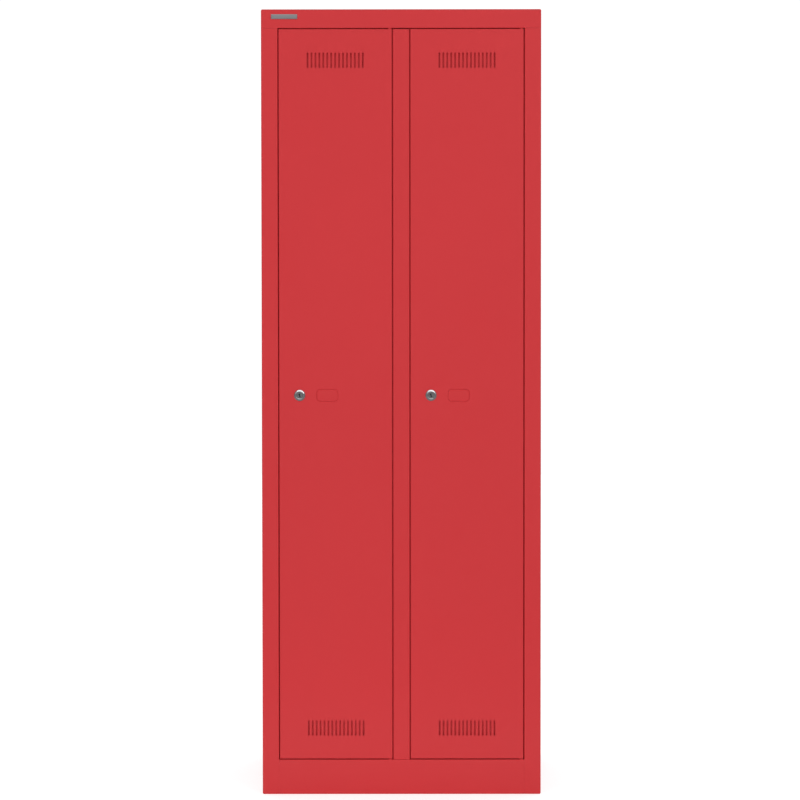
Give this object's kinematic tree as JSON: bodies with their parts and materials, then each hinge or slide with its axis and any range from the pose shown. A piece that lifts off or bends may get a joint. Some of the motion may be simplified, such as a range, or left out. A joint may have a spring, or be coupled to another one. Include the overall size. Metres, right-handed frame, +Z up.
{
  "type": "clothing locker",
  "caption": "Tall double steel clothing locker with two vented hinged doors, cam locks, and a hat shelf, coat rail and sliding hooks in each bay.",
  "frame": {"origin": "on the floor, at the middle of the bounding box's underside, lock faces included", "axes": "+Z up, +X to the right as seen from the front, -Y out of the front where the doors are"},
  "size_m": [0.64, 0.503, 1.8],
  "materials": {
    "red_paint": "satin powder coat",
    "rail_chrome": "bright plated tube",
    "lock_chrome": "bright plated",
    "zinc_plated_steel": "zinc plated",
    "black_plastic": "moulded, matte",
    "buffer_rubber": "matte",
    "badge_aluminium": "satin, plain"
  },
  "bodies": {
    "carcass": {"left_stile": "red_paint", "right_stile": "red_paint", "left_side_wall": "red_paint", "right_side_wall": "red_paint", "rear_posts": "red_paint", "foot_rails": "red_paint", "back_panel": "red_paint", "top_cap": "red_paint", "door_head": "red_paint", "ceiling_panel": "red_paint", "floor_panel": "red_paint", "plinth": "red_paint", "centre_stile": "red_paint", "stile_closing_strip": "red_paint", "centre_partition": "red_paint", "partition_rear_strip": "red_paint", "left_hat_shelf": "red_paint", "right_hat_shelf": "red_paint", "left_coat_rail": "rail_chrome", "right_coat_rail": "rail_chrome", "left_rail_hangers": "zinc_plated_steel", "right_rail_hangers": "zinc_plated_steel", "left_rail_end_caps": "black_plastic", "right_rail_end_caps": "black_plastic", "left_hinge_bushes": "red_paint", "right_hinge_bushes": "red_paint", "left_door_buffers": "buffer_rubber", "right_door_buffers": "buffer_rubber", "left_cam_keeper": "zinc_plated_steel", "right_cam_keeper": "zinc_plated_steel", "badge_plate": "badge_aluminium"},
    "left_door": {"left_door_pan": "red_paint", "left_door_stiffener": "red_paint", "left_vent_baffles": "red_paint", "left_hinge_brackets": "zinc_plated_steel", "left_hinge_pins": "zinc_plated_steel", "left_lock_housing": "lock_chrome", "left_lock_nut": "zinc_plated_steel"},
    "left_lock": {"left_lock_cylinder": "lock_chrome", "left_lock_cam": "zinc_plated_steel", "left_cam_screw": "zinc_plated_steel"},
    "left_hook_1": {"left_hook_1": "black_plastic"},
    "left_hook_2": {"left_hook_2": "black_plastic"},
    "left_hook_3": {"left_hook_3": "black_plastic"},
    "right_door": {"right_door_pan": "red_paint", "right_door_stiffener": "red_paint", "right_vent_baffles": "red_paint", "right_hinge_brackets": "zinc_plated_steel", "right_hinge_pins": "zinc_plated_steel", "right_lock_housing": "lock_chrome", "right_lock_nut": "zinc_plated_steel"},
    "right_lock": {"right_lock_cylinder": "lock_chrome", "right_lock_cam": "zinc_plated_steel", "right_cam_screw": "zinc_plated_steel"},
    "right_hook_1": {"right_hook_1": "black_plastic"},
    "right_hook_2": {"right_hook_2": "black_plastic"},
    "right_hook_3": {"right_hook_3": "black_plastic"}
  },
  "joints": [
    {"name": "left_door_hinge", "type": "hinge", "parent": "carcass", "child": "left_door", "pos_m": [-0.026, -0.2435, 0.9185], "axis": [0, 0, 1], "range_deg": [0, 110]},
    {"name": "left_lock_turn", "type": "hinge", "parent": "left_door", "child": "left_lock", "pos_m": [-0.233, -0.2485, 0.9185], "axis": [0, 1, 0], "range_deg": [0, 90]},
    {"name": "left_hook_1_slide", "type": "slide", "parent": "carcass", "child": "left_hook_1", "axis": [1, 0, 0], "range_m": [-0.055, 0.028]},
    {"name": "left_hook_2_slide", "type": "slide", "parent": "carcass", "child": "left_hook_2", "axis": [1, 0, 0], "range_m": [-0.028, 0.028]},
    {"name": "left_hook_3_slide", "type": "slide", "parent": "carcass", "child": "left_hook_3", "axis": [1, 0, 0], "range_m": [-0.028, 0.055]},
    {"name": "right_door_hinge", "type": "hinge", "parent": "carcass", "child": "right_door", "pos_m": [0.275, -0.2435, 0.9185], "axis": [0, 0, 1], "range_deg": [0, 110]},
    {"name": "right_lock_turn", "type": "hinge", "parent": "right_door", "child": "right_lock", "pos_m": [0.068, -0.2485, 0.9185], "axis": [0, 1, 0], "range_deg": [0, 90]},
    {"name": "right_hook_1_slide", "type": "slide", "parent": "carcass", "child": "right_hook_1", "axis": [1, 0, 0], "range_m": [-0.055, 0.028]},
    {"name": "right_hook_2_slide", "type": "slide", "parent": "carcass", "child": "right_hook_2", "axis": [1, 0, 0], "range_m": [-0.028, 0.028]},
    {"name": "right_hook_3_slide", "type": "slide", "parent": "carcass", "child": "right_hook_3", "axis": [1, 0, 0], "range_m": [-0.028, 0.055]}
  ]
}
